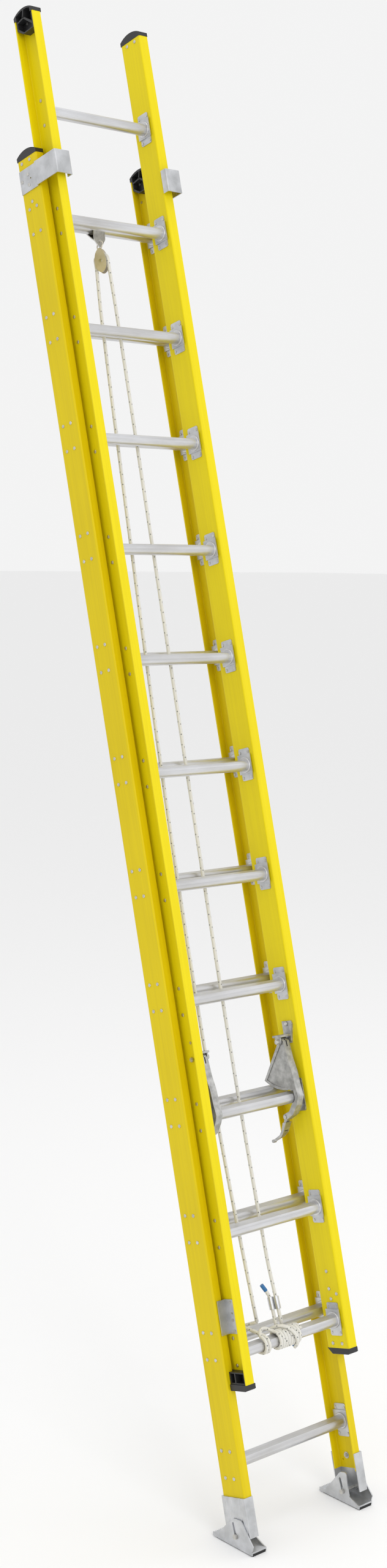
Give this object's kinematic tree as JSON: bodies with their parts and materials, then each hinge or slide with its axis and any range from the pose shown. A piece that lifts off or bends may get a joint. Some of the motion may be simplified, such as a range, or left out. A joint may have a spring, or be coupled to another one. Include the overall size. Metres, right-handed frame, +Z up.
{
  "type": "extension ladder",
  "caption": "Two-section sliding extension ladder with D-shaped rungs, gravity rung locks, rope and pulley, and swivel safety shoes.",
  "frame": {"origin": "on the floor midway between the two shoes, under the middle of their soles", "axes": "+X across the ladder to the right seen from the climbing side, -Y toward the climber, +Z up; rails lean 14.5 degrees from +Z toward +Y"},
  "size_m": [0.4562, 1.0617, 4.029],
  "materials": {
    "base_rail": "satin pultruded fibreglass",
    "fly_rail": "satin pultruded fibreglass",
    "aluminium": "extruded, satin",
    "cast_aluminium": "cast",
    "plate": "satin",
    "zinc": "zinc plated",
    "cap": "moulded",
    "rubber": "matte",
    "rope": "braided",
    "rope_tip": "dipped"
  },
  "bodies": {
    "base_section": {"base_guide_brackets": "aluminium", "base_rail_left": "base_rail", "base_rail_right": "base_rail", "base_rivets": "zinc", "base_rung_01": "aluminium", "base_rung_02": "aluminium", "base_rung_03": "aluminium", "base_rung_04": "aluminium", "base_rung_05": "aluminium", "base_rung_06": "aluminium", "base_rung_07": "aluminium", "base_rung_08": "aluminium", "base_rung_09": "aluminium", "base_rung_10": "aluminium", "base_rung_11": "aluminium", "base_rung_12": "aluminium", "base_rung_plates": "plate", "base_top_caps": "cap", "boot_left": "aluminium", "boot_right": "aluminium", "foot_bolts": "zinc", "pulley_strap": "zinc"},
    "fly_section": {"fly_bottom_caps": "cap", "fly_guide_brackets": "aluminium", "fly_rail_left": "fly_rail", "fly_rail_right": "fly_rail", "fly_rivets": "zinc", "fly_rung_01": "aluminium", "fly_rung_02": "aluminium", "fly_rung_03": "aluminium", "fly_rung_04": "aluminium", "fly_rung_05": "aluminium", "fly_rung_06": "aluminium", "fly_rung_07": "aluminium", "fly_rung_08": "aluminium", "fly_rung_09": "aluminium", "fly_rung_10": "aluminium", "fly_rung_11": "aluminium", "fly_rung_12": "aluminium", "fly_rung_plates": "plate", "fly_top_caps": "cap", "lock_bolts": "zinc", "lock_mounts": "cast_aluminium", "rope_clip": "aluminium", "rope_runs": "rope", "rope_tips": "rope_tip", "rope_wrap": "rope"},
    "lock_left": {"finger_pin_left": "zinc", "lock_left": "cast_aluminium"},
    "lock_right": {"finger_pin_right": "zinc", "lock_right": "cast_aluminium"},
    "finger_left": {"lock_finger_left": "cast_aluminium"},
    "finger_right": {"lock_finger_right": "cast_aluminium"},
    "shoe_left": {"pad_left": "rubber", "shoe_left": "aluminium"},
    "shoe_right": {"pad_right": "rubber", "shoe_right": "aluminium"},
    "pulley_block": {"pulley_block": "zinc", "pulley_pin": "zinc"},
    "pulley_sheave": {"pulley_sheave": "zinc"}
  },
  "joints": [
    {"name": "fly_slide", "type": "slide", "parent": "base_section", "child": "fly_section", "axis": [0, 0.2504, 0.9681], "range_m": [0, 2.4384], "deforming": ["rope_runs", "rope_wrap"]},
    {"name": "lock_left_swing", "type": "hinge", "parent": "fly_section", "child": "lock_left", "pos_m": [-0.149, 0.2263, 1.23751], "axis": [-1, 0, 0], "range_deg": [0, 25]},
    {"name": "finger_left_swing", "type": "hinge", "parent": "lock_left", "child": "finger_left", "pos_m": [-0.149, 0.19906, 1.03229], "axis": [-1, 0, 0], "range_deg": [-25, 25]},
    {"name": "shoe_left_tilt", "type": "hinge", "parent": "base_section", "child": "shoe_left", "pos_m": [-0.1974, -0.013, 0.032], "axis": [1, 0, 0], "range_deg": [-20, 8]},
    {"name": "lock_right_swing", "type": "hinge", "parent": "fly_section", "child": "lock_right", "pos_m": [0.149, 0.2263, 1.23751], "axis": [-1, 0, 0], "range_deg": [0, 25]},
    {"name": "finger_right_swing", "type": "hinge", "parent": "lock_right", "child": "finger_right", "pos_m": [0.149, 0.19906, 1.03229], "axis": [-1, 0, 0], "range_deg": [-25, 25]},
    {"name": "shoe_right_tilt", "type": "hinge", "parent": "base_section", "child": "shoe_right", "pos_m": [0.1974, -0.013, 0.032], "axis": [1, 0, 0], "range_deg": [-20, 8]},
    {"name": "pulley_swing", "type": "hinge", "parent": "base_section", "child": "pulley_block", "pos_m": [-0.008, 0.84751, 3.41586], "axis": [1, 0, 0], "range_deg": [-8, 8], "deforming": ["rope_runs"]},
    {"name": "sheave_spin", "type": "hinge", "parent": "pulley_block", "child": "pulley_sheave", "pos_m": [-0.016, 0.82693, 3.36024], "axis": [0.891, 0.4395, -0.1137], "continuous": true}
  ]
}
